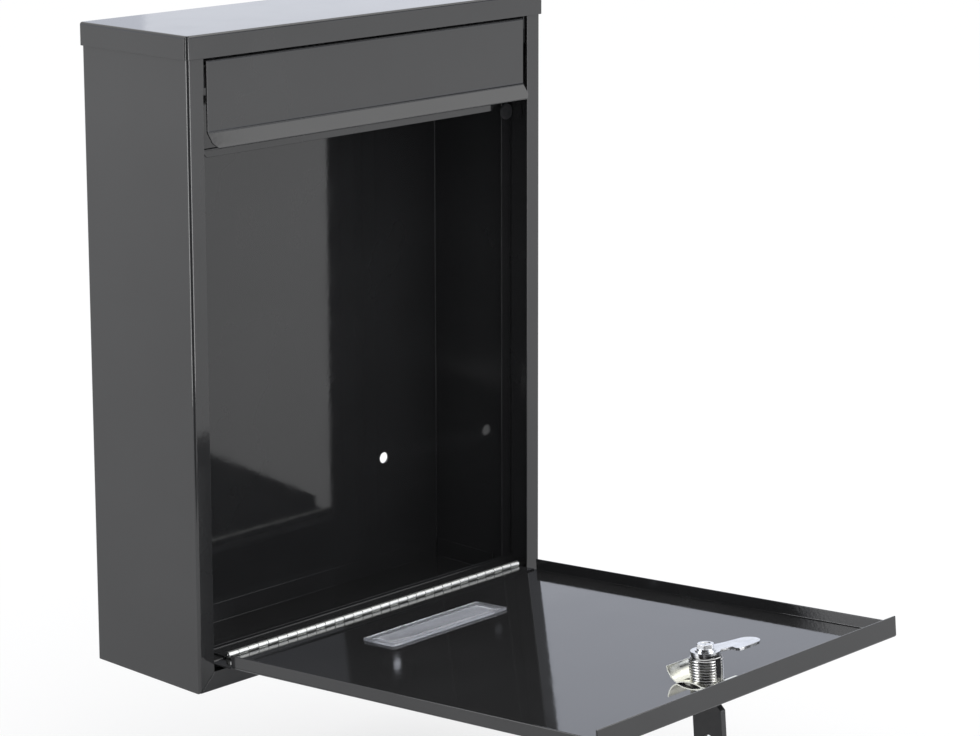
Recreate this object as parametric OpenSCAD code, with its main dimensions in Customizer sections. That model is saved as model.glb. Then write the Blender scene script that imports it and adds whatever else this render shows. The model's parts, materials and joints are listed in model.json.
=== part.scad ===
// Wall mounted letter box in folded sheet steel, with its door let down on a piano hinge.
// The origin is the centre of the four wall holes on the back face, +Y into the wall, +Z up.
// Inside the modules lengths run from the middle of the width, the front edges and the underside.

/* [Box] */
// Width over the side walls
box_w = 261.2; // [240:0.1:320]
// Height over the cap
box_h = 350; // [330:1:420]
// Depth from the front edges to the wall
box_d = 85; // [75:1:120]
// Thickness of the sheet steel
sheet = 1; // [0.8:0.1:1.2]
// Outside radius of the folds
fold_r = 1.5; // [1.4:0.1:3]
// Width of the front edge either side of the opening
edge_w = 10.4; // [8:0.1:14]
// Height of the turned-up front edge of the floor
sill_h = 12.4; // [10:0.1:15]
// Height of the skirt round the cap
skirt_h = 12.5; // [9:0.1:18]
// Width of the hidden flanges that join the sheets
joint_flange = 12; // [8:0.5:15]
// Gap at a welded seam
seam = 0.1; // [0.05:0.01:0.2]

/* [Wall holes] */
// Radius of the wall holes
hole_r = 3.25; // [2.5:0.05:4]
// Distance between the wall holes across the box
hole_span_x = 172; // [120:1:200]
// Distance between the wall holes up the box
hole_span_z = 210; // [160:1:240]

/* [Hinge] */
// Outside radius of the hinge barrel
knuckle_r = 1.75; // [1.6:0.05:2.2]
// Radius of the hinge pin
pin_r = 0.95; // [0.8:0.05:1]
// Running clearance round a pin or rod
pin_fit = 0.08; // [0.04:0.01:0.1]
// Thickness of the hinge leaves
leaf_t = 0.7; // [0.5:0.05:0.8]
// Width of a hinge leaf from the pin's axis
leaf_w = 13.5; // [10:0.5:14.5]
// Length of one knuckle with its gap
knuckle_pitch = 7; // [5:0.5:12]
// Gap between two knuckles
knuckle_gap = 0.4; // [0.3:0.05:0.6]
// Length of door left free at the left end of the hinge
hinge_margin = 9.8; // [4:0.1:16]

/* [Door] */
// Gap between the door and each edge of the opening
door_gap = 2.4; // [1.5:0.1:4]
// Depth of the closed door's face behind the front edges
door_inset = 0.75; // [0.4:0.05:2]
// Angle above level at which the open door rests
door_rise = 4.73; // [2:0.01:8]
// Length of door below the hinge's axis
door_tail = 2; // [1:0.1:2.2]
// Height of the door's side flanges
door_side_h = 7.4; // [5:0.1:9]
// Height of the door's top flange
door_top_h = 11.3; // [8:0.1:12]
// Length of door at its foot that has no side flanges
door_foot = 14.5; // [14:0.1:20]
// Gap that every moving piece keeps from its stop
stop_gap = 0.3; // [0.2:0.05:0.5]

/* [Flap] */
// Height of the flat face of the flap
flap_h = 36.8; // [30:0.1:45]
// Length of the flap's straight lip
lip_len = 9.2; // [6:0.1:11]
// Angle between the lip and the upright face
lip_angle = 38; // [20:1:42]
// Radius of the bend above the lip, at the middle of the sheet
lip_bend_r = 2.5; // [2:0.1:5]
// Corner cut off the lip at each end
lip_corner = 2.6; // [1:0.1:4]
// Gap between the flap and each edge of the opening
flap_gap = 2.7; // [2.2:0.1:4]
// Radius of the flap's rod
rod_r = 1.5; // [1.2:0.05:2]
// Length of one curl round the rod
curl_len = 40; // [20:1:60]
// Distance between the middles of two curls
curl_span = 75; // [60:1:85]

/* [Lock] */
// Distance of the lock's axis from the free edge of the door
lock_in = 31.2; // [28:0.1:45]
// Radius of the lock barrel's thread
barrel_r = 8.9; // [8.5:0.1:9.5]
// Half the width over the barrel's flats
barrel_flat = 8; // [7.4:0.1:8.2]
// Length of barrel inside the door
barrel_len = 12.85; // [12:0.05:16]
// Radius of the barrel's head
head_r = 11; // [10:0.1:13]
// Thickness of the barrel's head
head_t = 1.9; // [1.5:0.1:3]
// Radius of the turning core
core_r = 6; // [5.5:0.1:6.5]
// Distance from the lock's axis to the tip of the arm
arm_reach = 32.3; // [30:0.1:36]
// Thickness of the arm
arm_t = 1.4; // [1:0.1:2]
// Angle at which the arm stands above the door's width
arm_rest = 18; // [0:1:45]

/* [Keys] */
// Width of a key's bow
bow_w = 19; // [17:0.5:24]
// Length of a key's bow
bow_len = 28.3; // [24:0.1:36]
// Thickness of a key's bow
bow_t = 3.8; // [3:0.1:5]
// Radius of the hole in a bow
bow_hole_r = 3.5; // [3:0.1:4]
// Radius of the key ring at the middle of its wire
ring_r = 12; // [11:0.5:16]
// Radius of the ring's wire
wire_r = 1; // [0.8:0.05:1.2]

/* [Name window] */
// Length of the name window's flange
plate_len = 88; // [60:1:110]
// Height of the name window's flange
plate_h = 24.5; // [20:0.5:30]
// Height of the middle of the name window above the hinge's axis
plate_u = 49.2; // [42:0.1:80]

/* [Hidden] */
$fn = 64;

paint = [0.17, 0.17, 0.175];
zinc = [0.75, 0.75, 0.76];
chrome = [0.82, 0.82, 0.84];
yellow_zinc = [0.85, 0.84, 0.66];
clear_plastic = [0.85, 0.87, 0.9, 0.5];
black_plastic = [0.1, 0.1, 0.1];

// A little extra that lets a cut run clean through
cut = 1;

// Small clearances and set-backs that go with the sheet steel
skirt_gap = 0.9;
lip_gap = 1.7;
weld_gap = 0.7;
hole_fit = 0.15;

// Places across the box
half_w = box_w / 2;
in_x = half_w - sheet - seam;
open_x = half_w - edge_w;
door_x = open_x - door_gap;
flap_x = open_x - flap_gap;

// The hinge's axis: the door's skin clears the barrel, and when open clears the sill
skin_v = knuckle_r + stop_gap;
face_v = skin_v + sheet;
pivot_y = door_inset + face_v;
pivot_z = sill_h + stop_gap + face_v / cos(door_rise) - (pivot_y - sheet) * tan(door_rise);

// The piano hinge has an even number of knuckles
knuckle_n = 2 * floor((2 * door_x - hinge_margin) / (2 * knuckle_pitch));
hinge_x0 = -door_x + hinge_margin;
hinge_len = knuckle_n * knuckle_pitch;
leaf_start = knuckle_r + stop_gap;

// The rail under the hinge
rail_foot = 9;
rail_rear = 1.8;
rail_top = pivot_z - knuckle_r - seam;
rail_front = pivot_y + door_tail + stop_gap - seam;
rail_lip = 1.2;
guide_y = rail_front + leaf_w + rail_rear;
rail_back = guide_y - seam;

// The flap hangs under the cap's skirt, a little behind the front edges
flap_top = box_h - skirt_h - skirt_gap;
flap_y = 0.5;
bend_z = flap_top - flap_h;
// Step where the lip leaves its bend
lip_step = 0.02;
lip_low = bend_z - lip_bend_r * sin(lip_angle) - lip_len * cos(lip_angle);
curl_r = rod_r + pin_fit + sheet;
rod_back = 3.5;
rod_y = flap_y + sheet + rod_back;
rod_z = flap_top - curl_r - seam / 2;

// The door reaches up to just under the lip
door_top_z = lip_low - lip_gap;
door_u = door_top_z - pivot_z;
door_flange_v = door_top_h - face_v;

// The lock, measured from the hinge's axis through the door
lock_u = door_u - lock_in;
barrel_end = barrel_len - skin_v;
disc_t = 1;
disc_rim = 1.6;
disc_v = barrel_end + stop_gap;
arm_v = disc_v + disc_t + seam;
washer_t = 0.6;
washer_v = arm_v + arm_t;
screw_v = washer_v + washer_t;
screw_head_t = 2.9;
screw_r = 1.95;
stub = 7;

// The rail behind which the arm catches
catch_gap = 0.5;
catch_y = pivot_y + arm_v - catch_gap - sheet;
catch_front = pivot_y + door_flange_v + catch_gap;
catch_drop = 1.5;
catch_top = door_top_z - catch_drop;
catch_h = 5;
catch_inset = 21.4;
catch_x = half_w - catch_inset;

// The rails on the side walls
guide_w = 9.2;
guide_x = half_w - guide_w;
guide_leg = 12.7;
guide_top = catch_top + weld_gap;

// The name window: the margin of its flange round the hole, the card's pocket and the card
plate_rim = 4;
pocket = 5.5;
card_in = 5.8;

// The buffers on the side rails
buffer_r = 4.6;
buffer_t = 1.2;
buffer_step = 0.4;
buffer_drop = 7.9;
buffer_x = in_x - buffer_r - seam;
buffer_z = catch_top - buffer_drop;

// The brackets of the flap's rod
bracket_t = 1.5;
bracket_gap = 1.1;
bracket_x = flap_x + bracket_gap;
bracket_top = box_h - sheet - seam;
ear_front = 3.5;
ear_back = 5;
ear_foot = 10;
stop_drop = 12;
stop_z = rod_z - stop_drop;
stop_h = 8;
stop_w = 7;
rivet_h = 0.8;

// The keys: a bow is drawn from the middle of its hole, with its blade along +X
bow_end = 8;
bow_front = bow_len - bow_end;
blade_w = 7.5;
blade_t = 2;
tang_len = 7;
key_neck = 7.4;
blade_reach = key_neck + 14;
core_proud = 0.6;
core_face = -face_v - seam - head_t - core_proud;
hole_v = core_face - key_neck - bow_front;
wire_gap = 0.6;
wire_drop = bow_hole_r - wire_r - wire_gap;

// ---------------------------------------------------------------- placing

module on_box() {
    translate([0, -box_d, -box_h / 2]) children();
}

// On the open door: Y is the distance inwards from the hinge's axis, Z the distance along the door
module on_door() {
    on_box() translate([0, pivot_y, pivot_z]) rotate([90 - door_rise, 0, 0]) children();
}

module on_lock() {
    on_door() translate([0, 0, lock_u]) children();
}

// Upright again, at the wire where the ring hangs in the key's bow
module on_ring() {
    on_lock() translate([0, hole_v, 0]) rotate([door_rise - 90, 0, 0])
        translate([0, 0, -wire_drop]) children();
}

// At the middle of the hole in the spare key's bow, with the key's length along +Y
module on_spare() {
    on_ring() translate([0, 0, -2 * ring_r - wire_drop]) rotate([-90, 0, 0]) children();
}

// ---------------------------------------------------------------- forms

module slab(low, high) {
    translate(low) cube(high - low);
}

// A flat outline, drawn in Y and Z, made solid along X
module across(x0, x1) {
    translate([x0, 0, 0]) rotate([90, 0, 90]) linear_extrude(height = x1 - x0) children();
}

// A flat outline, drawn in X and Z, made solid along Y
module inwards(y0, y1) {
    translate([0, y1, 0]) rotate([90, 0, 0]) linear_extrude(height = y1 - y0) children();
}

module shaft_x(r, x0, x1) {
    translate([x0, 0, 0]) rotate([0, 90, 0]) cylinder(r = r, h = x1 - x0);
}

module shaft_y(r, y0, y1) {
    translate([0, y0, 0]) rotate([-90, 0, 0]) cylinder(r = r, h = y1 - y0);
}

module both_sides() {
    children();
    mirror([1, 0, 0]) children();
}

module round_rect(w, h, r) {
    translate([r, 0]) square([w - 2 * r, h]);
    translate([0, r]) square([w, h - 2 * r]);
    for (x = [r, w - r], y = [r, h - r]) translate([x, y]) circle(r);
}

// A rectangle from the origin with one round corner there
module one_corner(a, b, r) {
    translate([r, 0]) square([a - r, b]);
    translate([0, r]) square([a, b - r]);
    translate([r, r]) circle(r);
}

// A sheet folded once: legs a along X and b along Y, with the fold at the origin
module angle(a, b) {
    difference() {
        one_corner(a, b, fold_r);
        translate([sheet, sheet]) one_corner(a, b, fold_r - sheet);
    }
}

// A sheet folded twice into a tray, open upwards
module tray(w, h) {
    translate([-w / 2, 0]) difference() {
        union() {
            one_corner(w / 2 + sheet, h, fold_r);
            translate([w, 0]) mirror([1, 0]) one_corner(w / 2 + sheet, h, fold_r);
        }
        translate([sheet, sheet]) one_corner(w / 2, h, fold_r - sheet);
        translate([w - sheet, sheet]) mirror([1, 0]) one_corner(w / 2, h, fold_r - sheet);
    }
}

// ---------------------------------------------------------------- box

// The back, the sides and the front edges are one sheet, folded four times
module wrap_section() {
    difference() {
        translate([-half_w, 0]) round_rect(box_w, box_d, fold_r);
        translate([sheet - half_w, sheet])
            round_rect(box_w - 2 * sheet, box_d - 2 * sheet, fold_r - sheet);
        translate([-open_x, -cut]) square([2 * open_x, sheet + 2 * cut]);
    }
}

module wall_holes() {
    for (x = [-1, 1], z = [-1, 1])
        translate([x * hole_span_x / 2, box_d - 2 * sheet, box_h / 2 + z * hole_span_z / 2])
            shaft_y(hole_r, 0, 3 * sheet);
}

// The mitre between a front edge and the floor's turned-up edge, at the right-hand corner
module mitre(gap) {
    inwards(-cut, fold_r + sheet) polygon([
        [half_w - gap, 0], [open_x - gap - cut, edge_w + cut],
        [open_x - gap - cut, -cut], [half_w - gap, -cut]]);
}

module body_wrap() {
    top = box_h - sheet - seam;
    low_top = box_h - fold_r - seam;
    color(paint) on_box() {
        difference() {
            linear_extrude(height = top) wrap_section();
            both_sides() slab([half_w - fold_r, -cut, low_top], [half_w + cut, box_d + cut, box_h]);
            slab([-half_w, -cut, low_top], [half_w, fold_r + sheet, box_h]);
            wall_holes();
            both_sides() mitre(0);
            slab([-half_w + fold_r, -cut, -cut], [half_w - fold_r, fold_r + sheet, sheet + seam]);
        }
        slab([-in_x + fold_r, box_d - sheet - joint_flange, top - sheet],
             [in_x - fold_r, box_d - sheet / 2, top]);
    }
}

// The floor is a tray with one low front edge, notched at its ends
module floor_front() {
    notch_slope = 2;
    notch_x = open_x - 13.2;
    difference() {
        across(-half_w + fold_r, half_w - fold_r) angle(box_d - sheet - seam, sill_h);
        both_sides() translate([seam, 0, 0]) inwards(-cut, fold_r + sheet) polygon([
            [half_w, -cut], [half_w, sill_h + cut], [notch_x, sill_h + cut],
            [notch_x, sill_h], [notch_x - notch_slope, sill_h], [notch_x, edge_w],
            [open_x - 2 * seam, edge_w], [half_w - edge_w + sheet, edge_w - sheet - 2 * seam],
            [half_w - 2 * seam - sheet, sheet - 2 * seam]]);
    }
}

module floor_panel() {
    flange_y0 = guide_y + guide_leg + 2;
    flange_y1 = box_d - sheet - seam - fold_r;
    color(paint) on_box() {
        intersection() {
            floor_front();
            slab([-half_w, -cut, 0], [half_w, box_d - sheet - seam, sill_h]);
        }
        both_sides() slab([half_w - fold_r - cut, flange_y0, 0], [in_x - sheet / 2, flange_y1, sheet]);
        both_sides() slab([in_x - sheet, flange_y0, 0], [in_x, flange_y1, joint_flange]);
        slab([-in_x + fold_r, box_d - 2 * sheet - seam, 0],
             [in_x - fold_r, box_d - sheet - seam, joint_flange]);
    }
}

// The cap's skirts stand just proud of the front and sides; the front one runs round the corners
module cap() {
    proud = sheet + seam;
    round_x = half_w + proud - fold_r;
    round_y = fold_r - proud;
    corner_gap = 0.3;
    color(paint) on_box() translate([0, 0, box_h]) {
        across(-round_x, round_x)
            translate([-proud, 0]) mirror([0, 1]) angle(box_d + proud, skirt_h);
        both_sides() inwards(round_y + corner_gap, box_d)
            translate([half_w + proud, 0]) rotate(180) angle(half_w, skirt_h);
        both_sides() translate([round_x, round_y, 0]) difference() {
            translate([0, 0, -skirt_h]) cylinder(r = fold_r, h = skirt_h);
            translate([0, 0, -skirt_h - sheet]) cylinder(r = fold_r - sheet, h = skirt_h);
            slab([-2 * fold_r, -2 * fold_r, -2 * skirt_h], [0, 2 * fold_r, cut]);
            slab([-2 * fold_r, 0, -2 * skirt_h], [2 * fold_r, 2 * fold_r, cut]);
        }
    }
}

// ---------------------------------------------------------------- rails

// Front leg, shelf under the hinge and a low lip behind it, one folded strip
module hinge_rail() {
    depth = rail_back - rail_front;
    height = rail_top - sheet - seam;
    color(paint) on_box() across(-in_x, in_x) translate([rail_front, sheet + seam]) {
        translate([0, height]) mirror([0, 1]) angle(depth - fold_r, height - fold_r + sheet);
        angle(rail_foot, height - fold_r);
        translate([depth, height - sheet]) mirror([1, 0]) angle(depth - fold_r, sheet + rail_lip);
    }
}

// A shelf with its rear edge turned down; the arm catches behind that edge
module catch_rail() {
    depth = catch_y + sheet - catch_front;
    chamfer = 3;
    color(paint) on_box() {
        difference() {
            across(-catch_x, catch_x) translate([catch_y + sheet, catch_top]) rotate(180)
                angle(depth, catch_h);
            both_sides() inwards(catch_y - fold_r, catch_y + 2 * sheet) polygon([
                [catch_x + cut, catch_top - catch_h - cut],
                [catch_x + cut, catch_top - catch_h + chamfer + cut],
                [catch_x - chamfer - cut, catch_top - catch_h - cut]]);
        }
        slab([-in_x + fold_r, catch_front, catch_top - sheet],
             [in_x - fold_r, catch_y + sheet - fold_r, catch_top]);
        both_sides() inwards(catch_front, catch_y + sheet - fold_r)
            translate([in_x, catch_top]) rotate(180) angle(2 * fold_r, joint_flange);
    }
}

// An angle up the side wall that keeps the post off the front edge
module side_rail() {
    on_box() translate([0, 0, sheet + seam]) linear_extrude(height = guide_top - sheet - seam)
        translate([in_x, guide_y]) mirror([1, 0]) angle(in_x - guide_x, guide_leg);
}

module side_rail_left() {
    color(paint) mirror([1, 0, 0]) side_rail();
}

module side_rail_right() {
    color(paint) side_rail();
}

module buffers() {
    color([0.25, 0.25, 0.26]) on_box() both_sides()
        translate([buffer_x, guide_y - seam - buffer_t, buffer_z]) {
            shaft_y(buffer_r, buffer_step, buffer_t);
            shaft_y(buffer_r - buffer_step, 0, buffer_t);
        }
}

// ---------------------------------------------------------------- flap

// The side view of the flap: return under the cap, face, bend and lip
module flap_section() {
    bend_y = flap_y + sheet / 2 - lip_bend_r;
    translate([flap_y, flap_top]) mirror([0, 1]) angle(rod_y - flap_y - sheet, flap_h);
    translate([bend_y, bend_z]) {
        intersection() {
            difference() {
                circle(lip_bend_r + sheet / 2);
                circle(lip_bend_r - sheet / 2);
            }
            polygon([[0, 0], [3 * lip_bend_r, 0],
                     [3 * lip_bend_r * cos(lip_angle), -3 * lip_bend_r * sin(lip_angle)]]);
        }
        rotate(-lip_angle) translate([lip_bend_r - sheet / 2 + lip_step, -lip_len])
            square([sheet - 2 * lip_step, lip_len + seam]);
    }
}

module flap_curls() {
    for (i = [-1, 0, 1]) translate([i * curl_span - curl_len / 2, rod_y, rod_z]) {
        shaft_x(curl_r, 0, curl_len);
        slab([0, flap_y + fold_r - rod_y, curl_r + seam / 2 - sheet], [curl_len, 0, curl_r + seam / 2]);
    }
}

module flap() {
    color(paint) on_box() difference() {
        union() {
            across(-flap_x, flap_x) flap_section();
            flap_curls();
        }
        translate([0, rod_y, rod_z]) shaft_x(rod_r + pin_fit, -half_w, half_w);
        both_sides() inwards(-box_d, flap_y + cut) polygon([
            [flap_x + cut, lip_low - cut - 1], [flap_x + cut, lip_low + lip_corner + cut],
            [flap_x - lip_corner - cut - 1, lip_low - cut - 1]]);
    }
}

module flap_rod() {
    end_x = bracket_x + bracket_t + rivet_h;
    color(zinc) on_box() translate([0, rod_y, rod_z]) {
        shaft_x(rod_r, -end_x, end_x);
        both_sides() shaft_x(rod_r + rivet_h, bracket_x + bracket_t + seam, end_x);
    }
}

// An ear under the cap that carries the rod, with a stop behind the flap
module flap_bracket() {
    front = rod_y - ear_front;
    back = rod_y + ear_back;
    stop_y = flap_y + sheet + stop_gap;
    on_box() {
        difference() {
            across(bracket_x, bracket_x + bracket_t) polygon([
                [front, bracket_top], [back, bracket_top], [back, stop_z + stop_h],
                [rod_y, stop_z], [stop_y, stop_z], [stop_y, stop_z + stop_h], [front, stop_z + stop_h]]);
            translate([0, rod_y, rod_z]) shaft_x(rod_r + seam / 2, 0, half_w);
        }
        slab([bracket_x - stop_w, stop_y, stop_z], [bracket_x + seam, stop_y + bracket_t, stop_z + stop_h]);
        slab([bracket_x - ear_foot, front, bracket_top - bracket_t],
             [bracket_x + seam, back, bracket_top]);
    }
}

module flap_bracket_left() {
    color(paint) mirror([1, 0, 0]) flap_bracket();
}

module flap_bracket_right() {
    color(paint) flap_bracket();
}

// ---------------------------------------------------------------- hinge

// One leaf: knuckles round the X axis, and a plate along +Y at the given height below the axis
module hinge_leaf(first, low) {
    difference() {
        union() {
            across(hinge_x0, hinge_x0 + hinge_len)
                translate([leaf_start, -low]) square([leaf_w - leaf_start, leaf_t]);
            for (i = [first : 2 : knuckle_n - 1])
                across(hinge_x0 + i * knuckle_pitch + knuckle_gap / 2,
                       hinge_x0 + (i + 1) * knuckle_pitch - knuckle_gap / 2) {
                    circle(knuckle_r);
                    translate([0, -low]) square([leaf_start + seam, leaf_t]);
                }
        }
        shaft_x(pin_r + pin_fit, -half_w, half_w);
    }
}

module hinge_body_leaf() {
    color(zinc) on_box() translate([0, pivot_y, pivot_z]) hinge_leaf(0, knuckle_r);
}

module hinge_door_leaf() {
    color(zinc) on_door() mirror([0, 1, -1]) hinge_leaf(1, skin_v - seam);
}

module hinge_pin() {
    color(zinc) on_box() translate([0, pivot_y, pivot_z])
        shaft_x(pin_r, hinge_x0 - 0.5, hinge_x0 + hinge_len + 0.5);
}

// ---------------------------------------------------------------- door

module lock_hole(r, flat) {
    intersection() {
        circle(r);
        translate([-r, -flat]) square([2 * r, 2 * flat]);
    }
}

module door_tray() {
    notch = fold_r + 0.2;
    translate([0, -face_v, 0]) {
        translate([0, 0, door_foot]) linear_extrude(height = door_u - door_foot - notch)
            tray(2 * door_x, door_side_h);
        slab([-door_x, 0, -door_tail], [door_x, sheet, door_foot + seam]);
        across(-door_x + notch, door_x - notch) translate([0, door_u]) rotate(-90)
            angle(notch + cut, door_top_h);
    }
}

// The hole for the name window, centred, with its edge this far inside the window's flange
module window_outline(rim) {
    translate([rim - plate_len / 2, rim - plate_h / 2])
        round_rect(plate_len - 2 * rim, plate_h - 2 * rim, 1);
}

module door_panel() {
    color(paint) on_door() difference() {
        door_tray();
        inwards(-face_v - cut, cut - skin_v) translate([0, lock_u])
            lock_hole(barrel_r + hole_fit, barrel_flat + hole_fit);
        inwards(-face_v - cut, cut - skin_v) translate([0, plate_u]) window_outline(plate_rim);
    }
}

// A clear window pressed into its hole from inside, hollow for the card
module nameplate_holder() {
    low = seam - skin_v;
    flange_t = 1.5;
    proud = 0.5;
    color(clear_plastic) on_door() translate([0, 0, plate_u]) difference() {
        union() {
            hull() {
                inwards(low, low + flange_t / 3) square([plate_len, plate_h], center = true);
                inwards(low, low + flange_t) square([plate_len - 3, plate_h - 3], center = true);
            }
            inwards(-face_v - proud, low + seam) window_outline(plate_rim + seam);
        }
        slab([pocket - plate_len / 2, low + 0.4, pocket - plate_h / 2],
             [plate_len / 2 + cut, low + 0.9, plate_h / 2 - pocket]);
        translate([plate_len / 2 - 5, 0, 0]) inwards(low + 0.4, low + flange_t + cut)
            translate([-1.5, -2.5]) round_rect(3, 5, 1.4);
    }
}

module name_card() {
    low = seam - skin_v + 0.5;
    color([0.95, 0.95, 0.93]) on_door() translate([0, 0, plate_u])
        slab([card_in - plate_len / 2, low, card_in - plate_h / 2],
             [plate_len / 2 - card_in - 1, low + 0.3, plate_h / 2 - card_in]);
}

// ---------------------------------------------------------------- lock

module lock_barrel() {
    color(chrome) on_lock() difference() {
        union() {
            inwards(-face_v - seam, barrel_end) lock_hole(barrel_r, barrel_flat);
            shaft_y(head_r, -face_v - seam - head_t, -face_v - seam);
        }
        shaft_y(core_r + pin_fit, -2 * head_r, 2 * head_r);
    }
}

// A spring plate pushed over the flats: bowed off the door, with a flat foot and a raised tail
module lock_clip() {
    near_x = -12.2;
    far_x = 12.6;
    plate_t = 0.6;
    rise = 1.3;
    half_u = 8;
    bow_u = -1.6;
    foot_u = 12.5;
    tail_r = 9.7;
    tail_from = 20;
    tail_to = 81;
    low = seam - skin_v;
    bow_r = (half_u * half_u + rise * rise) / (2 * rise);
    color(yellow_zinc) on_lock() difference() {
        across(near_x, far_x) {
            intersection() {
                translate([low + rise - bow_r, bow_u]) difference() {
                    circle(bow_r + plate_t, $fn = 256);
                    circle(bow_r, $fn = 256);
                }
                translate([low, bow_u - half_u]) square([2 * rise, 2 * half_u]);
            }
            translate([low, bow_u + half_u - plate_t]) square([plate_t, foot_u - half_u - bow_u + plate_t]);
            translate([low + plate_t / 2 + tail_r * cos(tail_from),
                       bow_u - half_u + tail_r * sin(tail_from)]) difference() {
                circle(tail_r + plate_t / 2, $fn = 256);
                circle(tail_r - plate_t / 2, $fn = 256);
                rotate(tail_from) translate([-2 * tail_r, 0]) square(4 * tail_r);
                rotate(tail_to) translate([-2 * tail_r, -4 * tail_r]) square(4 * tail_r);
            }
        }
        inwards(low - cut, 2 * tail_r) translate([-barrel_r, -barrel_flat - seam])
            square([4 * barrel_r, 2 * (barrel_flat + seam)]);
    }
}

module keyway() {
    slab([-blade_t / 2 - 0.15, core_face - cut, -blade_w / 2 - 0.25],
         [blade_t / 2 + 0.15, core_face + 15, blade_w / 2 + 0.25]);
}

module lock_plug() {
    color(chrome) on_lock() difference() {
        union() {
            shaft_y(core_r, core_face, disc_v + seam);
            shaft_y(core_r + disc_rim, disc_v, disc_v + disc_t);
            slab([-stub / 2, disc_v, -stub / 2], [stub / 2, washer_v - seam, stub / 2]);
        }
        keyway();
        shaft_y(screw_r + seam / 2, disc_v - 1.2, washer_v + cut);
    }
}

// The arm's outline: a round hub, a neck and a wider head with a step behind it
module arm_outline() {
    hub_r = 7.7;
    neck_far = -6.2;
    neck_near = 3.4;
    head_r = 6.1;
    head_x = arm_reach - head_r;
    head_y = -1.5;
    step_x = 13.8;
    step_y = 8;
    circle(hub_r);
    translate([0, neck_far]) square([step_x + 2, neck_near - neck_far]);
    translate([head_x, head_y]) circle(head_r);
    polygon([[step_x, neck_far], [head_x, head_y - head_r], [head_x, head_y],
             [head_x + 1.4, head_y + head_r - 0.2], [step_x + 4.4, step_y - 0.4],
             [step_x + 1.4, step_y], [step_x, step_y - 1.6]]);
}

module cam_arm() {
    color(zinc) on_lock() difference() {
        rotate([0, -arm_rest, 0]) inwards(arm_v, arm_v + arm_t) arm_outline();
        inwards(arm_v - cut, arm_v + arm_t + cut)
            square([stub + 2 * seam, stub + 2 * seam], center = true);
    }
}

module cam_washer() {
    color(zinc) on_lock() translate([0, seam / 2, 0]) difference() {
        shaft_y(5.4, washer_v, washer_v + washer_t - seam);
        shaft_y(screw_r + seam, washer_v - cut, washer_v + cut);
    }
}

module cam_screw() {
    across_flats = 8;
    color(zinc) on_lock() {
        shaft_y(screw_r, disc_v - 0.9, screw_v + seam);
        shaft_y(4.5, screw_v, screw_v + 0.7);
        inwards(screw_v, screw_v + screw_head_t)
            circle(r = across_flats / sqrt(3), $fn = 6);
    }
}

// ---------------------------------------------------------------- keys

module bow_outline() {
    round_r = 4;
    shoulder = 3;
    half = bow_w / 2;
    translate([-bow_end, 0]) {
        translate([0, round_r - half]) square([round_r + seam, bow_w - 2 * round_r]);
        for (s = [-1, 1]) translate([round_r, s * (half - round_r)]) circle(round_r);
        translate([round_r, 0]) polygon([
            [0, -half], [bow_len - round_r - shoulder, -half], [bow_len - round_r, shoulder - half],
            [bow_len - round_r, half - shoulder], [bow_len - round_r - shoulder, half], [0, half]]);
    }
}

// The moulded bow with its hole and a pocket for the blade's tang
module bow() {
    tang_w = blade_w - 1.5;
    difference() {
        across(-bow_t / 2, bow_t / 2) difference() {
            bow_outline();
            circle(bow_hole_r);
        }
        slab([-blade_t / 2 - seam, bow_front - tang_len - seam, -tang_w / 2 - seam],
             [blade_t / 2 + seam, bow_front + cut, tang_w / 2 + seam]);
    }
}

// The blade with its cuts down one edge, from the tang in the bow to the tip
module blade() {
    tang_w = blade_w - 1.5;
    cut_n = 5;
    cut_pitch = 2.4;
    half = blade_w / 2;
    across(-blade_t / 2, blade_t / 2) difference() {
        union() {
            translate([bow_front - tang_len, -tang_w / 2]) square([tang_len + seam, tang_w]);
            translate([bow_front + seam, 0]) polygon([
                [0, -half], [blade_reach - 2, -half], [blade_reach, -0.8],
                [blade_reach, 0.8], [blade_reach - 2, half], [0, half]]);
        }
        for (i = [0 : cut_n - 1]) {
            depth = 0.7 + 0.55 * ((2 * i) % 3);
            translate([bow_front + key_neck + 1.5 + i * cut_pitch, half]) polygon([
                [-0.4 - depth, cut], [-0.4 - depth + 0.2, 0], [-0.4, -depth], [0.4, -depth],
                [0.2 + depth, 0], [0.4 + depth, cut]]);
        }
    }
}

module key_blade() {
    color(zinc) on_lock() translate([0, hole_v, 0]) blade();
}

module key_bow() {
    color(black_plastic) on_lock() translate([0, hole_v, 0]) bow();
}

module key_ring() {
    color(zinc) on_ring() translate([0, 0, -ring_r]) rotate([90, 0, 0])
        rotate_extrude() translate([ring_r, 0]) circle(wire_r, $fn = 32);
}

module spare_key_blade() {
    color(zinc) on_spare() blade();
}

module spare_key_bow() {
    color(black_plastic) on_spare() bow();
}

body_wrap();
floor_panel();
cap();
hinge_rail();
catch_rail();
side_rail_left();
side_rail_right();
buffers();
flap();
flap_rod();
flap_bracket_left();
flap_bracket_right();
door_panel();
hinge_body_leaf();
hinge_door_leaf();
hinge_pin();
nameplate_holder();
name_card();
lock_barrel();
lock_clip();
lock_plug();
cam_arm();
cam_washer();
cam_screw();
key_blade();
key_bow();
key_ring();
spare_key_blade();
spare_key_bow();
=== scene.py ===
import json
import math

import bmesh
import bpy
import numpy as np
from mathutils import Matrix, Vector
from mathutils.bvhtree import BVHTree


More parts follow.
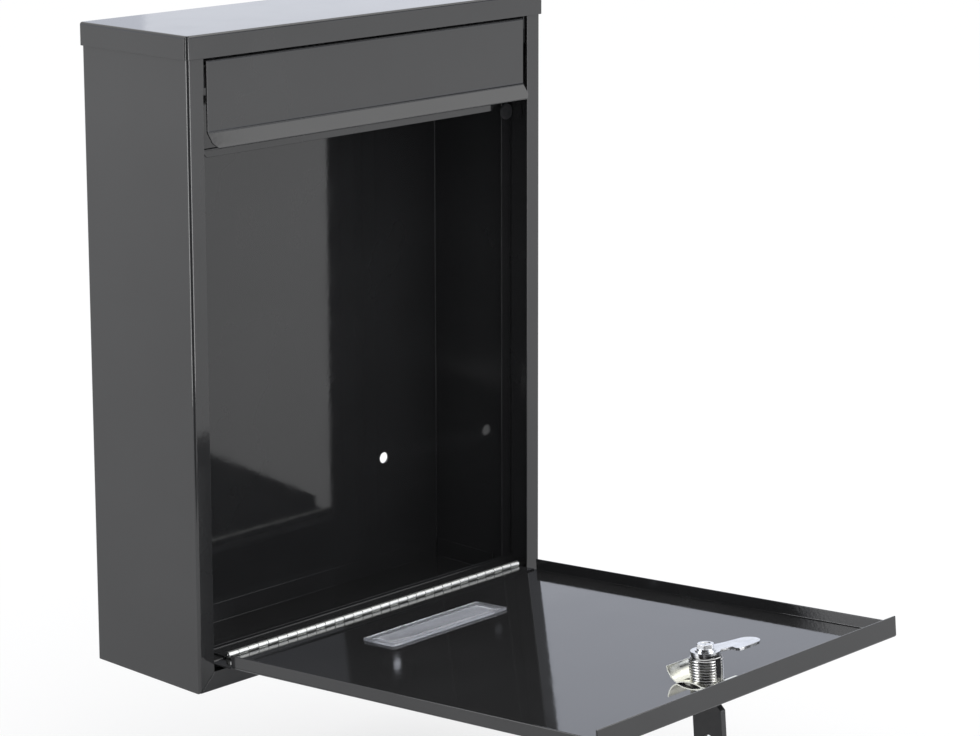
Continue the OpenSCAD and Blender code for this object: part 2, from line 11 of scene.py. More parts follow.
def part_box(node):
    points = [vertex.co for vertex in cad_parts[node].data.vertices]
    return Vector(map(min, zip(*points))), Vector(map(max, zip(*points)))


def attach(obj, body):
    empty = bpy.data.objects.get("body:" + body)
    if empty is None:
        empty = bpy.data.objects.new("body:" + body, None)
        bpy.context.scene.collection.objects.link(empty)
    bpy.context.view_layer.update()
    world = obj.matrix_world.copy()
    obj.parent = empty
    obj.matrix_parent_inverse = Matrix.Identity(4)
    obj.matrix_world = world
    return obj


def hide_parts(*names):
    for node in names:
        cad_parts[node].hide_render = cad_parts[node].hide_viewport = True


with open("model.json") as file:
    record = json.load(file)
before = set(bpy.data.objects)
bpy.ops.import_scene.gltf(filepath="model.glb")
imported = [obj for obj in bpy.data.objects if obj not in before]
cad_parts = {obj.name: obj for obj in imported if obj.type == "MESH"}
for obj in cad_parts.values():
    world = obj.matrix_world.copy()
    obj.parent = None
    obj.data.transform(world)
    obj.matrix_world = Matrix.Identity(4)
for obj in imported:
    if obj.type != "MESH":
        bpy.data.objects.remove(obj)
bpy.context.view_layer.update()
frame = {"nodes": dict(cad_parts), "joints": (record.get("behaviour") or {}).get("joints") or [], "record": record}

MM = 0.001
NODE_BODY = {n: body for body, nodes in frame["record"]["behaviour"]["bodies"].items() for n in nodes}
JOINTS = {joint["name"]: joint for joint in frame["joints"]}


# ---------------------------------------------------------------- materials

PAINT_LOW = (0.0235, 0.0236, 0.0241)
PAINT_HIGH = (0.0274, 0.0276, 0.0282)
PAINT_GLOSS = 1.68
BRIGHT_ZINC = (0.78, 0.79, 0.77)
RAGGED = 0.05 * MM
RUBBED_THROUGH = 0.2 * MM
ZINC_ROUGHNESS = 0.42
PAINT_ROUGHNESS = 0.07


def new_material(name, **settings):
    """A material with a Principled shader whose sockets hold the given constant values."""
    material = bpy.data.materials.new(name)
    material.use_nodes = True
    shader = material.node_tree.nodes["Principled BSDF"]
    for socket, value in settings.items():
        shader.inputs[socket.replace("_", " ")].default_value = value
    return material, material.node_tree, shader


def node(tree, kind, **inputs):
    """A shader node whose named inputs hold values or are linked to other nodes' outputs."""
    made = tree.nodes.new(kind)
    for name, value in inputs.items():
        socket = made.inputs[name.replace("_", " ")]
        if isinstance(value, bpy.types.NodeSocket):
            tree.links.new(value, socket)
        else:
            socket.default_value = value
    return made


def noise(tree, scale, detail=2.0, stretch=(1.0, 1.0, 1.0)):
    """Noise on the object's own metres; scale counts features to the metre."""
    place = tree.nodes.new("ShaderNodeTexCoord").outputs["Object"]
    mapped = node(tree, "ShaderNodeMapping", Vector=place, Scale=stretch).outputs["Vector"]
    return node(tree, "ShaderNodeTexNoise", Vector=mapped, Scale=scale, Detail=detail).outputs["Fac"]


def between(tree, factor, low, high, start=0.3, end=0.7):
    """A number that runs from low to high as the factor runs from start to end."""
    made = node(tree, "ShaderNodeMapRange", Value=factor)
    made.inputs["From Min"].default_value = start
    made.inputs["From Max"].default_value = end
    made.inputs["To Min"].default_value = low
    made.inputs["To Max"].default_value = high
    return made.outputs["Result"]


def blend_colours(tree, factor, low, high):
    """A colour that runs from low to high as the factor runs from 0.35 to 0.65."""
    ramp = tree.nodes.new("ShaderNodeValToRGB")
    ramp.color_ramp.elements[0].position = 0.35
    ramp.color_ramp.elements[0].color = (*low, 1)
    ramp.color_ramp.elements[1].position = 0.65
    ramp.color_ramp.elements[1].color = (*high, 1)
    tree.links.new(factor, ramp.inputs["Fac"])
    return ramp.outputs["Color"]


def mixed_colour(tree, factor, low, high):
    """A straight mix of two colours, each given as numbers or as a node's output."""
    mix = tree.nodes.new("ShaderNodeMix")
    mix.data_type = "RGBA"
    tree.links.new(factor, mix.inputs["Factor"])
    for socket, colour in ((mix.inputs[6], low), (mix.inputs[7], high)):
        if isinstance(colour, bpy.types.NodeSocket):
            tree.links.new(colour, socket)
        else:
            socket.default_value = (*colour, 1)
    return mix.outputs[2]


def bump(tree, shader, height, strength, distance):
    """Roughens a surface by a height pattern, distance metres deep at full strength."""
    made = node(tree, "ShaderNodeBump", Height=height, Strength=strength, Distance=distance)
    tree.links.new(made.outputs["Normal"], shader.inputs["Normal"])


def gloss_paint(name):
    """Glossy powder coat: fine orange peel, faint cloudiness and uneven gloss."""
    material, tree, shader = new_material(name, IOR=PAINT_GLOSS)
    cloudy = blend_colours(tree, noise(tree, 18, 3), PAINT_LOW, PAINT_HIGH)
    tree.links.new(cloudy, shader.inputs["Base Color"])
    tree.links.new(between(tree, noise(tree, 45, 2), 0.045, 0.085), shader.inputs["Roughness"])
    bump(tree, shader, noise(tree, 420, 2), 0.05, 0.2 * MM)
    return material


def painted_leaf(name, axis, barrel_radius):
    """A hinge leaf painted with its sheet, rubbed down to bright zinc on the knuckles round the axis."""
    material, tree, shader = new_material(name, IOR=PAINT_GLOSS)
    place = tree.nodes.new("ShaderNodeTexCoord").outputs["Object"]
    centred = node(tree, "ShaderNodeMapping", Vector=place, Location=(0, -axis[1], -axis[2]),
                   Scale=(0, 1, 1)).outputs["Vector"]
    reach = tree.nodes.new("ShaderNodeVectorMath")
    reach.operation = "LENGTH"
    tree.links.new(centred, reach.inputs[0])
    ragged = between(tree, noise(tree, 900, 3), -RAGGED, RAGGED)
    edge = node(tree, "ShaderNodeMath")
    tree.links.new(reach.outputs["Value"], edge.inputs[0])
    tree.links.new(ragged, edge.inputs[1])
    paint = between(tree, edge.outputs[0], 0.0, 1.0, barrel_radius, barrel_radius + RUBBED_THROUGH)
    tree.links.new(blend_colours(tree, paint, BRIGHT_ZINC, PAINT_HIGH), shader.inputs["Base Color"])
    tree.links.new(between(tree, paint, 1.0, 0.0, 0.2, 0.8), shader.inputs["Metallic"])
    roughness = between(tree, paint, ZINC_ROUGHNESS, PAINT_ROUGHNESS, 0.2, 0.8)
    tree.links.new(roughness, shader.inputs["Roughness"])
    bump(tree, shader, noise(tree, 700, 3, (0.2, 1, 1)), 0.1, 0.3 * MM)
    return material


def bright_metal(name, low, high, rough, grain=(1.0, 1.0, 1.0)):
    """Plated metal: blotched tone, uneven gloss and a fine grain drawn out along one axis."""
    material, tree, shader = new_material(name, Metallic=1.0)
    tree.links.new(blend_colours(tree, noise(tree, 160, 3), low, high), shader.inputs["Base Color"])
    tree.links.new(between(tree, noise(tree, 260, 2), *rough), shader.inputs["Roughness"])
    bump(tree, shader, noise(tree, 900.0, 2, grain), 0.08, 0.2 * MM)
    return material


def clear_plastic(name):
    """Moulded clear plastic, faintly milky, with flow marks."""
    material, tree, shader = new_material(
        name, IOR=1.49, Transmission_Weight=0.86, Base_Color=(0.86, 0.88, 0.93, 1))
    tree.links.new(between(tree, noise(tree, 60, 2), 0.02, 0.06), shader.inputs["Roughness"])
    bump(tree, shader, noise(tree, 90, 3, (0.25, 1, 1)), 0.05, 0.4 * MM)
    return material


def moulded_plastic(name, low, high, rough):
    """Black plastic or rubber with a fine spark texture from its mould."""
    material, tree, shader = new_material(name, IOR=1.5)
    tree.links.new(blend_colours(tree, noise(tree, 300, 3), low, high), shader.inputs["Base Color"])
    tree.links.new(between(tree, noise(tree, 500, 2), *rough), shader.inputs["Roughness"])
    bump(tree, shader, noise(tree, 2600, 3), 0.18, 0.2 * MM)
    return material


def card_paper(name):
    """Blank white card with a paper's tooth."""
    material, tree, shader = new_material(name, IOR=1.45, Roughness=0.9)
    tree.links.new(blend_colours(tree, noise(tree, 700, 4), (0.68, 0.69, 0.72), (0.78, 0.79, 0.82)),
                   shader.inputs["Base Color"])
    bump(tree, shader, noise(tree, 2200, 3), 0.2, 0.1 * MM)
    return material


MATERIALS = {
    "body_paint": gloss_paint("anthracite_body"),
    "flap_paint": gloss_paint("anthracite_flap"),
    "door_paint": gloss_paint("anthracite_door"),
    "buffer_rubber": moulded_plastic("buffer_rubber", (0.05, 0.05, 0.052), (0.065, 0.065, 0.068), (0.5, 0.7)),
    "hinge_zinc": bright_metal("hinge_zinc", (0.62, 0.63, 0.62), (0.8, 0.8, 0.79), (0.2, 0.34), (0.1, 1, 1)),
    "zinc_steel": bright_metal("zinc_steel", (0.68, 0.69, 0.71), (0.8, 0.81, 0.83), (0.16, 0.28)),
    "lock_chrome": bright_metal("lock_chrome", (0.62, 0.62, 0.62), (0.76, 0.76, 0.76), (0.07, 0.16)),
    "yellow_zinc": bright_metal("yellow_zinc", (0.80, 0.80, 0.70), (0.88, 0.88, 0.81), (0.16, 0.28)),
    "key_steel": bright_metal("key_steel", (0.55, 0.55, 0.56), (0.68, 0.68, 0.69), (0.16, 0.3), (1, 1, 0.1)),
    "key_plastic": moulded_plastic("key_plastic", (0.014, 0.014, 0.015), (0.02, 0.02, 0.021), (0.3, 0.42)),
    "clear_window": clear_plastic("clear_window"),
    "card": card_paper("card"),
}

for part in frame["record"]["subparts"]:
    mesh = frame["nodes"][part["node"]].data
    mesh.materials.clear()
    mesh.materials.append(MATERIALS[part["material_slot"]])
SLOT_OF = {part["node"]: part["material_slot"] for part in frame["record"]["subparts"]}
BARREL_RADIUS = 1.76 * MM
leaf_finish = painted_leaf("painted_hinge_leaf", JOINTS["door_hinge"]["pos_m"], BARREL_RADIUS)
for leaf in ("hinge_body_leaf", "hinge_door_leaf"):
    frame["nodes"][leaf].data.materials[0] = leaf_finish


# ---------------------------------------------------------------- pieces

SHEET_EDGE = 0.32 * MM
BOW_EDGE = 0.5 * MM
EDGE_SEGMENTS = 3
EDGE_LEAST_ANGLE = 28
STRAY_SHARE = 0.6


def softened(cad_node, width):
    """A copy of a CAD node with broken edges and smoothly rolled folds, which then stands for the node.

    A corner that the bevel throws away from the sheet goes back on to it, and none passes the node's box.
    """
    name = cad_node + "_finished"
    work = bmesh.new()
    work.from_mesh(frame["nodes"][cad_node].data)
    bmesh.ops.remove_doubles(work, verts=work.verts, dist=1e-6)
    bmesh.ops.dissolve_limit(work, angle_limit=math.radians(0.4), verts=work.verts, edges=work.edges)
    surface = BVHTree.FromBMesh(work)
    mesh = bpy.data.meshes.new(name)
    work.to_mesh(mesh)
    work.free()
    piece = bpy.data.objects.new(name, mesh)
    bpy.context.scene.collection.objects.link(piece)
    edges = piece.modifiers.new("broken edges", "BEVEL")
    edges.width = width
    edges.segments = EDGE_SEGMENTS
    edges.limit_method = "ANGLE"
    edges.angle_limit = math.radians(EDGE_LEAST_ANGLE)
    edges.use_clamp_overlap = False
    bake_modifiers(piece)
    lowest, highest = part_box(cad_node)
    for vertex in piece.data.vertices:
        on_sheet, _, _, distance = surface.find_nearest(vertex.co)
        if distance > width * STRAY_SHARE:
            vertex.co = on_sheet
        vertex.co = [min(max(value, low), high) for value, low, high in zip(vertex.co, lowest, highest)]
    weigh_normals(piece)
    finish_piece(piece, SLOT_OF[cad_node], NODE_BODY[cad_node], cad_node)


def weigh_normals(piece):
    """Shades a piece smooth while its large flat faces stay flat."""
    for polygon in piece.data.polygons:
        polygon.use_smooth = True
    normals = piece.modifiers.new("flat faces", "WEIGHTED_NORMAL")
    normals.mode = "FACE_AREA"
    normals.keep_sharp = False
    bake_modifiers(piece)


def bake_modifiers(piece):
    """Turns a piece's modifiers into plain mesh."""
    bpy.context.view_layer.update()
    result = bpy.data.meshes.new_from_object(piece.evaluated_get(bpy.context.evaluated_depsgraph_get()))
    piece.modifiers.clear()
    piece.data = result
    result.name = piece.name


def finish_piece(piece, slot, body, *cad_nodes):
    """Gives a finished piece the material of its slot and its body, and hides the CAD nodes that it stands for."""
    piece.data.materials.clear()
    piece.data.materials.append(MATERIALS[slot])
    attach(piece, body)
    if cad_nodes:
        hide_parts(*cad_nodes)


def along(axis_joint):
    """The frame of a joint that points inwards from the door: (origin, across, inwards, along the door)."""
    joint = JOINTS[axis_joint]
    inwards = -Vector(joint["axis"]).normalized()
    across = Vector((1, 0, 0))
    return Vector(joint["pos_m"]), across, inwards, across.cross(inwards).normalized() * -1


def extent(cad_node, origin, axis):
    """How far a CAD node reaches from an origin along an axis, as (least, most)."""
    reach = [(vertex.co - origin).dot(axis) for vertex in frame["nodes"][cad_node].data.vertices]
    return min(reach), max(reach)


def lathe(name, rings, origin, across, inwards, along_door):
    """A closed surface through rings of (distance inwards, radius at each angle).

    The last ring joins the first.
    """
    count = len(rings[0][1])
    angles = np.arange(count) / count * 2 * math.pi
    points = []
    for distance, radii in rings:
        for angle, radius in zip(angles, radii):
            points.append(origin + inwards * distance
                          + (across * math.cos(angle) + along_door * math.sin(angle)) * radius)
    faces = []
    for ring in range(len(rings)):
        following = (ring + 1) % len(rings)
        for k in range(count):
            n = (k + 1) % count
            faces.append((ring * count + k, ring * count + n, following * count + n, following * count + k))
    return closed_piece(name, points, faces)


def closed_piece(name, points, faces):
    """An object from points and faces, with its faces turned outwards."""
    mesh = bpy.data.meshes.new(name)
    mesh.from_pydata([tuple(point) for point in points], [], faces)
    work = bmesh.new()
    work.from_mesh(mesh)
    bmesh.ops.recalc_face_normals(work, faces=work.faces)
    work.to_mesh(mesh)
    work.free()
    piece = bpy.data.objects.new(name, mesh)
    bpy.context.scene.collection.objects.link(piece)
    return piece


THREAD_PITCH = 1.4 * MM
THREAD_DEPTH = 0.7 * MM
CROWN_WIDTH = 1.2 * MM
CROWN_HEIGHT = 1.0 * MM
CROWN_SHOULDER = 0.35 * MM
HEAD_EDGE = 0.2 * MM
END_CHAMFER = 0.3 * MM
FLAT_CLEARANCE = 0.02 * MM


def threaded_barrel():
    """The lock's barrel with its round head and two flats, and the thread on it."""
    origin, across, inwards, along_door = along("lock_turn")
    low, high = extent("lock_barrel", origin, inwards)
    corners = [(v.co - origin) for v in frame["nodes"]["lock_barrel"].data.vertices]
    shank = [c for c in corners if c.dot(inwards) > high - 0.5 * MM]
    half_flat = max(abs(c.dot(along_door)) for c in shank)
    major = max(math.hypot(c.dot(across), c.dot(along_door)) for c in shank)
    bore = min(math.hypot(c.dot(across), c.dot(along_door)) for c in shank)
    head = max(math.hypot(c.dot(across), c.dot(along_door)) for c in corners)
    under_head = max(c.dot(inwards) for c in corners
                     if math.hypot(c.dot(across), c.dot(along_door)) > major + 0.1 * MM)
    root, count = major - THREAD_DEPTH, 180
    angles = np.arange(count) / count * 2 * math.pi
    clamp = half_flat / np.maximum(np.abs(np.sin(angles)), 1e-6)
    everywhere = np.ones(count)
    shank_radius = np.minimum(everywhere * root, clamp)
    rings = [(low, everywhere * bore), (low, everywhere * (head - CROWN_WIDTH)),
             (low + CROWN_SHOULDER, everywhere * (head - CROWN_SHOULDER)),
             (low + CROWN_HEIGHT, everywhere * head), (under_head - HEAD_EDGE, everywhere * head),
             (under_head, everywhere * (head - HEAD_EDGE)), (under_head, shank_radius),
             (high - END_CHAMFER, shank_radius), (high, shank_radius - END_CHAMFER),
             (high, everywhere * (bore + END_CHAMFER)), (high - END_CHAMFER, everywhere * bore)]
    piece = lathe("barrel_core", rings, origin, across, inwards, along_door)
    finish_piece(piece, "lock_chrome", "door", "lock_barrel")
    start = under_head + THREAD_PITCH / 2
    turns = math.floor((high - 0.2 * MM - THREAD_PITCH / 2 - start) / THREAD_PITCH * 4) / 4
    thread_ridge(root, turns, half_flat - FLAT_CLEARANCE,
                 Matrix.Translation(origin + inwards * start)
                 @ Matrix((across, along_door, inwards)).transposed().to_4x4())


def group_input(tree, name, kind):
    """A named input on a node tree."""
    return tree.interface.new_socket(name, in_out="INPUT", socket_type="NodeSocket" + kind)


def thread_tree():
    """Sweeps a vee-shaped ridge along a helix and planes it off at the barrel's two flats."""
    tree = bpy.data.node_groups.new("rolled_thread", "GeometryNodeTree")
    for name in ("Turns", "Pitch", "Root Radius", "Ridge Height", "Half Flat"):
        group_input(tree, name, "Float")
    group_input(tree, "Finish", "Material")
    tree.interface.new_socket("Geometry", in_out="OUTPUT", socket_type="NodeSocketGeometry")
    given = tree.nodes.new("NodeGroupInput").outputs
    rise = node(tree, "ShaderNodeMath")
    rise.operation = "MULTIPLY"
    tree.links.new(given["Turns"], rise.inputs[0])
    tree.links.new(given["Pitch"], rise.inputs[1])
    helix = node(tree, "GeometryNodeCurveSpiral", Resolution=72, Rotations=given["Turns"],
                 Start_Radius=given["Root Radius"], End_Radius=given["Root Radius"], Height=rise.outputs[0])
    upright = node(tree, "GeometryNodeSetCurveNormal", Curve=helix.outputs["Curve"])
    upright.mode = "Z_UP"
    vee = node(tree, "GeometryNodeCurvePrimitiveCircle", Resolution=4, Radius=given["Ridge Height"])
    swept = node(tree, "GeometryNodeCurveToMesh", Curve=upright.outputs["Curve"],
                 Profile_Curve=vee.outputs["Curve"], Fill_Caps=True)
    place = node(tree, "ShaderNodeSeparateXYZ",
                 Vector=tree.nodes.new("GeometryNodeInputPosition").outputs["Position"])
    below = node(tree, "ShaderNodeMath")
    below.operation = "MULTIPLY"
    below.inputs[1].default_value = -1.0
    tree.links.new(given["Half Flat"], below.inputs[0])
    planed = node(tree, "ShaderNodeClamp", Value=place.outputs["Y"], Min=below.outputs[0],
                  Max=given["Half Flat"])
    moved = node(tree, "ShaderNodeCombineXYZ", X=place.outputs["X"], Y=planed.outputs["Result"],
                 Z=place.outputs["Z"])
    set_place = node(tree, "GeometryNodeSetPosition", Geometry=swept.outputs["Mesh"],
                     Position=moved.outputs["Vector"])
    real = node(tree, "GeometryNodeRealizeInstances", Geometry=set_place.outputs["Geometry"])
    finished = node(tree, "GeometryNodeSetMaterial", Geometry=real.outputs["Geometry"],
                    Material=given["Finish"])
    out = tree.nodes.new("NodeGroupOutput")
    tree.links.new(finished.outputs["Geometry"], out.inputs["Geometry"])
    return tree


def grown(name, tree, **inputs):
    """A plain mesh object made by a geometry node tree with the given named inputs."""
    piece = bpy.data.objects.new(name, bpy.data.meshes.new(name))
    bpy.context.scene.collection.objects.link(piece)
    modifier = piece.modifiers.new(name, "NODES")
    modifier.node_group = tree
    for item in tree.interface.items_tree:
        key = item.name.replace(" ", "_")
        if item.in_out == "INPUT" and key in inputs:
            modifier[item.identifier] = inputs[key]
    bake_modifiers(piece)
    return piece


def thread_ridge(root, turns, half_flat, placing):
    """The thread on the barrel: one helical ridge."""
    piece = grown("thread_ridge", thread_tree(), Turns=float(turns), Pitch=THREAD_PITCH, Root_Radius=root,
                  Ridge_Height=THREAD_DEPTH, Half_Flat=half_flat, Finish=MATERIALS["lock_chrome"])
    piece.data.transform(placing)
    finish_piece(piece, "lock_chrome", "door")


def rounded_outline(half_length, half_height, corner, steps=6):
    """Points round a rectangle with rounded corners, centred on nought."""
    points = []
    for quarter, (side_x, side_y) in enumerate(((1, 1), (-1, 1), (-1, -1), (1, -1))):
        for step in range(steps + 1):
            turn = math.radians(90 * quarter + 90 * step / steps)
            points.append((side_x * (half_length - corner) + corner * math.cos(turn),
                           side_y * (half_height - corner) + corner * math.sin(turn)))
    return points


def window_moulding():
    """The clear window seen from inside: a rim, a channel inside it, a raised frame and a card slot."""
    origin, across, inwards, along_door = along("lock_turn")
    left, right = extent("nameplate_holder", origin, across)
    foot, head = extent("nameplate_holder", origin, along_door)
    face, top = extent("nameplate_holder", origin, inwards)
    centre = origin + across * (left + right) / 2 + along_door * (foot + head) / 2
    half_length, half_height = (right - left) / 2, (head - foot) / 2
    plug = [v.co - centre for v in frame["nodes"]["nameplate_holder"].data.vertices
            if (v.co - origin).dot(inwards) < face + 0.1 * MM]
    plug_inset = half_length - max(abs(c.dot(across)) for c in plug)
    back = min((v.co - origin).dot(inwards) for v in frame["nodes"]["nameplate_holder"].data.vertices
               if abs((v.co - centre).dot(across)) > half_length - plug_inset / 2)
    # (height, inset from the rim): up the plug, round the rim, through the channel, over the frame
    levels = [(face, plug_inset + 0.4 * MM), (face + 0.15 * MM, plug_inset + 0.1 * MM),
              (face + 0.4 * MM, plug_inset), (back, plug_inset), (back, 0.1 * MM), (back + 0.1 * MM, 0.0),
              (top - 0.6 * MM, 0.0), (top - 0.15 * MM, 0.25 * MM), (top, 0.7 * MM), (top, 1.0 * MM),
              (top - 0.2 * MM, 1.3 * MM), (top - 0.75 * MM, 1.5 * MM), (top - 0.75 * MM, 2.5 * MM),
              (top - 0.1 * MM, 2.9 * MM), (top, 3.1 * MM), (top, 3.5 * MM), (top - 0.15 * MM, 3.9 * MM),
              (top - 0.45 * MM, 4.6 * MM)]
    points, faces = [], []
    for level, inset in levels:
        corner = max(1.8 * MM - inset, 0.5 * MM)
        for x, u in rounded_outline(half_length - inset, half_height - inset, corner):
            points.append(centre + across * x + along_door * u + inwards * level)
    count = len(points) // len(levels)
    for ring in range(len(levels) - 1):
        for k in range(count):
            n = (k + 1) % count
            faces.append((ring * count + k, ring * count + n, (ring + 1) * count + n, (ring + 1) * count + k))
    faces += [tuple(range(count)), tuple(range(len(points) - count, len(points)))]
    piece = closed_piece("window_moulding", points, faces)
    slot = rounded_outline(0.8 * MM, 2.2 * MM, 0.79 * MM)
    slot_at = centre + across * (half_length - 4.0 * MM)
    ends = [[slot_at + across * x + along_door * u + inwards * level for x, u in slot]
            for level in (top - 1.0 * MM, top + 1.0 * MM)]
    edge = len(slot)
    sides = [(k, (k + 1) % edge, (k + 1) % edge + edge, k + edge) for k in range(edge)]
    cutter = closed_piece("card_slot", ends[0] + ends[1],
                          sides + [tuple(range(edge)), tuple(range(edge, 2 * edge))])
    cut = piece.modifiers.new("card slot", "BOOLEAN")
    cut.object = cutter
    cut.operation = "DIFFERENCE"
    bake_modifiers(piece)
    bpy.data.objects.remove(cutter)
    for polygon in piece.data.polygons:
        polygon.use_smooth = True
    piece.data.set_sharp_from_angle(angle=math.radians(30))
    finish_piece(piece, "clear_window", "door", "nameplate_holder")


def prism_rings(corner_radius, sides, count):
    """Radii at each of count angles round a prism with the given radius at its corners."""
    angles = np.arange(count) / count * 2 * math.pi
    sector = 2 * math.pi / sides
    apothem = corner_radius * math.cos(sector / 2)
    return apothem / np.cos((angles + sector / 2) % sector - sector / 2)


ON_FACE = 0.05 * MM


def hexagon_screw():
    """The screw that holds the arm: a hexagon head with a dished top, its flange and its shank."""
    origin, across, inwards, along_door = along("lock_turn")
    low, high = extent("cam_screw", origin, inwards)
    corners = [(v.co - origin) for v in frame["nodes"]["cam_screw"].data.vertices]
    reach = [math.hypot(c.dot(across), c.dot(along_door)) for c in corners]
    depth = [c.dot(inwards) for c in corners]
    top = [r for r, d in zip(reach, depth) if d > high - ON_FACE]
    corner = max(top)
    shank = max(r for r, d in zip(reach, depth) if d < low + ON_FACE)
    flange = [(r, d) for r, d in zip(reach, depth) if shank * 1.2 < r and r < corner * 0.99]
    flange_r = max(r for r, d in flange)
    flange_low = min(d for r, d in flange)
    flange_high = max(d for r, d in flange)
    count = 144
    everywhere = np.ones(count)
    hexagon = prism_rings(corner, 6, count)
    chamfer = np.minimum(hexagon, corner * 0.925)
    rings = [(low, everywhere * shank * 0.3), (low, everywhere * shank),
             (flange_low, everywhere * shank), (flange_low, everywhere * flange_r),
             (flange_high, everywhere * flange_r), (flange_high, hexagon * 0.985)]
    # up the sides of the hexagon, over its chamfer and down into the dish
    rings += [(flange_high + 0.1 * MM, np.minimum(hexagon, corner * 0.99)),
              (high - 0.45 * MM, np.minimum(hexagon, corner * 0.99)),
              (high - 0.2 * MM, np.minimum(hexagon, corner * 0.96)), (high, chamfer * 0.97),
              (high, everywhere * corner * 0.62), (high - 0.3 * MM, everywhere * corner * 0.5),
              (high - 0.45 * MM, everywhere * corner * 0.1)]
    piece = lathe("hexagon_screw", rings, origin, across, inwards, along_door)
    finish_piece(piece, "zinc_steel", "lock_core", "cam_screw")


# ---------------------------------------------------------------- camera, light and floor

HORIZON = (0.88, 0.92, 1.03)
FLOOR_LEVEL = -0.262
FLOOR_REACH = 40.0
FLOOR_OWN_WHITE = 0.66
FLOOR_NEAR = 0.35
FLOOR_FAR = 2.6
# painted shade: the floor's colour in a gloss near the object, darker than it is seen straight
FLOOR_SHADE_IN_GLOSS = (0.68, 0.68, 0.68)
FLOOR_TO_LIGHT = (0.86, 0.86, 0.86)


def look_from(place, right, up, lens, shift_y):
    """The scene's camera at a place, turned so that right and up run as given."""
    data = bpy.data.cameras.new("camera")
    data.sensor_width = 36.0
    data.lens = lens
    data.shift_y = shift_y
    data.clip_end = 100.0
    camera = bpy.data.objects.new("camera", data)
    bpy.context.scene.collection.objects.link(camera)
    right, up = Vector(right).normalized(), Vector(up).normalized()
    back = right.cross(up).normalized()
    up = back.cross(right)
    camera.matrix_world = Matrix.Translation(place) @ Matrix((right, up, back)).transposed().to_4x4()
    bpy.context.scene.camera = camera


def soft_lamp(name, place, target, size, power, in_gloss_only=False):
    """A rectangular lamp facing its target, hidden when looked at straight.

    With in_gloss_only its light is kept off matt surfaces too.
    """
    data = bpy.data.lights.new(name, "AREA")
    data.shape = "RECTANGLE"
    data.size, data.size_y = size
    data.energy = power
    lamp = bpy.data.objects.new(name, data)
    bpy.context.scene.collection.objects.link(lamp)
    lamp.location = place
    lamp.rotation_euler = (Vector(target) - Vector(place)).to_track_quat("-Z", "Y").to_euler()
    lamp.visible_camera = False
    lamp.visible_diffuse = not in_gloss_only


def studio_world():
    """A white room, faintly blue just over the horizon except where it is looked at straight."""
    world = bpy.data.worlds.new("studio")
    bpy.context.scene.world = world
    world.use_nodes = True
    tree = world.node_tree
    direction = tree.nodes.new("ShaderNodeTexCoord").outputs["Generated"]
    height = node(tree, "ShaderNodeSeparateXYZ", Vector=direction).outputs["Z"]
    sky = blend_colours(tree, between(tree, height, 0.0, 1.0, 0.1, 0.6), HORIZON, (1, 1, 1))
    path = tree.nodes.new("ShaderNodeLightPath")
    seen = mixed_colour(tree, path.outputs["Is Camera Ray"], sky, (1, 1, 1))
    background = tree.nodes["Background"]
    tree.links.new(seen, background.inputs["Color"])
    background.inputs["Strength"].default_value = 1.0


def dark_card(name, bearing, distance, width, foot, head):
    """An upright dark card at a bearing in degrees from +X, which shows only as a dark shape in a gloss."""
    turn = math.radians(bearing)
    away = Vector((math.cos(turn), math.sin(turn), 0)) * distance
    side = Vector((-math.sin(turn), math.cos(turn), 0)) * width / 2
    corners = [away + side * s + Vector((0, 0, z)) for s, z in ((-1, foot), (1, foot), (1, head), (-1, head))]
    mesh = bpy.data.meshes.new(name)
    mesh.from_pydata(corners, [], [(0, 1, 2, 3)])
    card = bpy.data.objects.new(name, mesh)
    bpy.context.scene.collection.objects.link(card)
    material, tree, shader = new_material(name, Roughness=1.0, Specular_IOR_Level=0.0)
    tree.links.new(blend_colours(tree, noise(tree, 3), (0.02, 0.02, 0.02), (0.03, 0.03, 0.03)),
                   shader.inputs["Base Color"])
    mesh.materials.append(material)
    card.visible_camera = False
    card.visible_diffuse = False
    card.visible_shadow = False
    card.visible_transmission = False


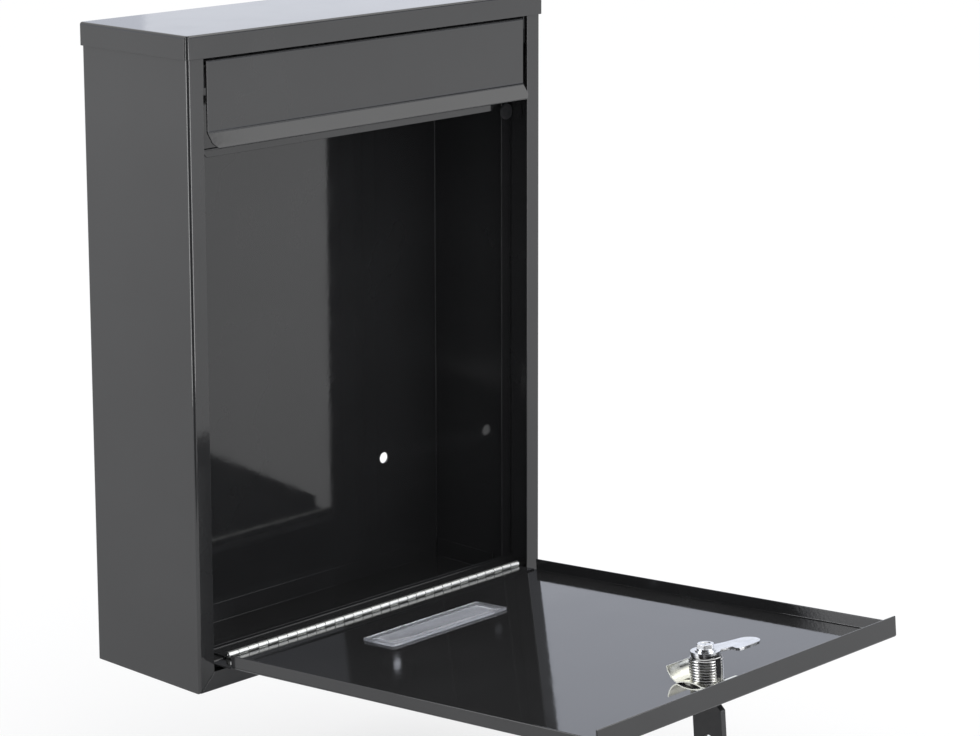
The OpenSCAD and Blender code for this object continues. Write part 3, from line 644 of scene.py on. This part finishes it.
def pale_floor(height, reach):
    """A wide matt floor: white where it is seen, with painted shade in a gloss, darker round the object."""
    work = bmesh.new()
    bmesh.ops.create_circle(work, cap_ends=True, segments=96, radius=reach)
    mesh = bpy.data.meshes.new("floor")
    work.to_mesh(mesh)
    work.free()
    floor = bpy.data.objects.new("floor", mesh)
    bpy.context.scene.collection.objects.link(floor)
    floor.location.z = height
    material, tree, shader = new_material("floor", Roughness=1.0, Specular_IOR_Level=0.0)
    place = tree.nodes.new("ShaderNodeTexCoord").outputs["Object"]
    radius = tree.nodes.new("ShaderNodeVectorMath")
    radius.operation = "LENGTH"
    tree.links.new(place, radius.inputs[0])
    # painted shade in a gloss: darkest near the object, fading to white by FLOOR_FAR
    gloss = between(tree, radius.outputs["Value"], 0.0, 1.0, FLOOR_NEAR, FLOOR_FAR)
    path = tree.nodes.new("ShaderNodeLightPath")
    straight = node(tree, "ShaderNodeMath")
    straight.operation = "MAXIMUM"
    tree.links.new(path.outputs["Is Camera Ray"], straight.inputs[0])
    tree.links.new(path.outputs["Is Transmission Ray"], straight.inputs[1])
    in_gloss = mixed_colour(tree, gloss, FLOOR_SHADE_IN_GLOSS, (1, 1, 1))
    bounced = mixed_colour(tree, path.outputs["Is Glossy Ray"], FLOOR_TO_LIGHT, in_gloss)
    seen = mixed_colour(tree, straight.outputs[0], bounced, (1, 1, 1))
    tree.links.new(seen, shader.inputs["Base Color"])
    own_white = node(tree, "ShaderNodeMath")
    own_white.operation = "MULTIPLY"
    own_white.inputs[1].default_value = FLOOR_OWN_WHITE
    tree.links.new(straight.outputs[0], own_white.inputs[0])
    white = node(tree, "ShaderNodeEmission")
    share = tree.nodes.new("ShaderNodeMixShader")
    tree.links.new(own_white.outputs[0], share.inputs["Fac"])
    tree.links.new(shader.outputs["BSDF"], share.inputs[1])
    tree.links.new(white.outputs["Emission"], share.inputs[2])
    tree.links.new(share.outputs["Shader"], tree.nodes["Material Output"].inputs["Surface"])
    mesh.materials.append(material)


for sheet_part in ("body_wrap", "floor_panel", "cap", "hinge_rail", "catch_rail", "side_rail_left",
                   "side_rail_right", "flap", "door_panel"):
    softened(sheet_part, SHEET_EDGE)
for bow in ("key_bow", "spare_key_bow"):
    softened(bow, BOW_EDGE)
window_moulding()
threaded_barrel()
hexagon_screw()
look_from(place=(-1.122506, -1.258996, 0.378608), right=(0.69545, -0.71858, -0.00167),
          up=(0.13586, 0.1292, 0.98227), lens=111.888, shift_y=-0.16404)
studio_world()
soft_lamp("key_light", place=(-1.2, -1.8, 1.9), target=(0, -0.1, 0), size=(1.6, 1.2), power=5.0)
soft_lamp("top_softbox", place=(1.13, -0.41, 2.08), target=(0, -0.1, 0), size=(1.3, 0.9), power=4.5)
soft_lamp("lip_softbox", place=(1.9, -0.86, 1.66), target=(0, -0.1, 0.1), size=(1.3, 0.72), power=1.5)
soft_lamp("back_softbox", place=(6.3, 4.93, 1.18), target=(0, 0, 0.17), size=(3.7, 0.44), power=1.4)
for strip, strip_place in (("left_strip", (-0.961, 0.274, 0.18)), ("right_strip", (0.243, -0.97, 0.18))):
    soft_lamp(strip, strip_place, target=(0, 0, 0.18), size=(0.54, 0.86), power=5.2, in_gloss_only=True)
dark_card("camera_card", bearing=222.0, distance=0.75, width=1.09, foot=-0.26, head=0.7)
dark_card("right_card", bearing=318.0, distance=3.0, width=0.9, foot=0.65, head=1.45)
pale_floor(FLOOR_LEVEL, FLOOR_REACH)

scene = bpy.context.scene
scene.view_settings.view_transform = "Standard"

bpy.context.view_layer.update()
